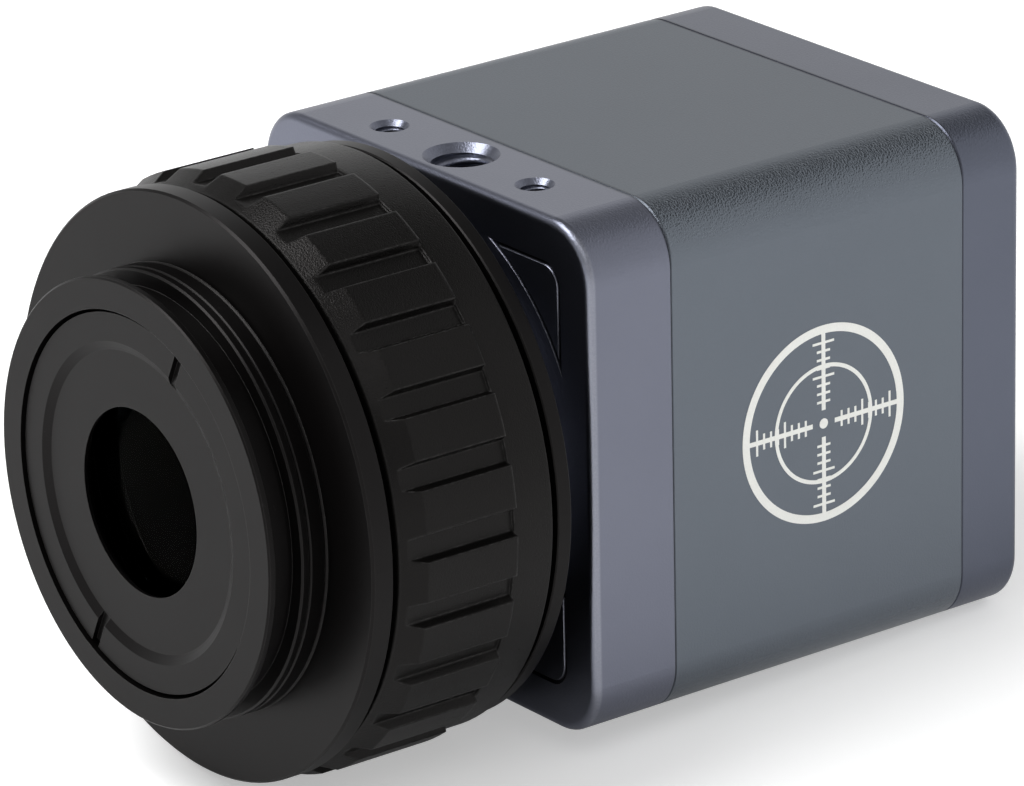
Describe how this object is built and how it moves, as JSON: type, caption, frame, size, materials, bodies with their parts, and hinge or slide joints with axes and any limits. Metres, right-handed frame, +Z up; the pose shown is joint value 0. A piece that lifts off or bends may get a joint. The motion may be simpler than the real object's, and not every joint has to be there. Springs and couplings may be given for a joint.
{
  "type": "microscope camera",
  "caption": "Square metal microscope camera with a ribbed focusing adapter and a round port neck in front, and plug sockets, a card slot and a push button behind.",
  "frame": {"origin": "on the optical axis, at the shoulder where the port neck meets the front flange", "axes": "+Y from front to rear along the optical axis, +Z up through the tripod hole, +X to the right seen from the front"},
  "size_m": [0.0514, 0.0767, 0.0514],
  "materials": {
    "satin_housing": "satin blue-grey anodised",
    "blasted_housing": "bead-blasted blue-grey anodised",
    "black_anodised": "matte black anodised",
    "lens_glass": "polished and coated",
    "filter_glass": "polished, blue-green tint",
    "seal_rubber": "soft black",
    "pad_rubber": "soft grey",
    "screw_steel": "black oxide",
    "bright_steel": "bright",
    "standoff_brass": "turned",
    "board_green": "solder mask",
    "chip_black": "moulded",
    "black_plastic": "moulded black",
    "light_plastic": "clear to milky"
  },
  "bodies": {
    "camera": {"front_plate": "satin_housing", "rear_cover": "satin_housing", "body_sleeve": "blasted_housing", "adapter_base": "black_anodised", "keeper_ring": "black_anodised", "heat_sink": "black_anodised", "sensor_glass": "lens_glass", "ir_cut_filter": "filter_glass", "drag_o_ring": "seal_rubber", "thermal_pad": "pad_rubber", "housing_screws": "screw_steel", "guide_pins": "bright_steel", "sensor_board_screws": "bright_steel", "video_socket_shell": "bright_steel", "data_socket_shell": "bright_steel", "card_reader": "bright_steel", "sensor_standoffs": "standoff_brass", "sensor_board": "board_green", "main_board": "board_green", "image_processor": "chip_black", "memory_chips": "chip_black", "image_sensor": "chip_black", "filter_holder": "black_plastic", "board_link": "black_plastic", "video_socket_insulator": "black_plastic", "data_socket_insulator": "black_plastic", "tact_switch": "black_plastic", "status_light_pipe": "light_plastic", "status_led": "light_plastic"},
    "ring": {"adjusting_ring": "black_anodised"},
    "barrel": {"lens_barrel": "black_anodised", "lens_retaining_ring": "black_anodised", "front_lens": "lens_glass", "rear_lens": "lens_glass"},
    "button": {"capture_button": "black_plastic", "switch_plunger": "black_plastic"}
  },
  "joints": [
    {"name": "ring_turn", "type": "hinge", "parent": "camera", "child": "ring", "pos_m": [0, 0.0102, 0], "axis": [0, -1, 0], "range_deg": [0, 180]},
    {"name": "barrel_slide", "type": "slide", "parent": "camera", "child": "barrel", "axis": [0, -1, 0], "range_m": [0, 0.003]},
    {"name": "button_press", "type": "slide", "parent": "camera", "child": "button", "axis": [0, -1, 0], "range_m": [0, 0.0005], "stiffness_N_per_m": 300, "springref_m": -0.003}
  ],
  "couplings": [
    {"joint": "barrel_slide", "follows": "ring_turn", "m_per_rad": 0.00095}
  ]
}
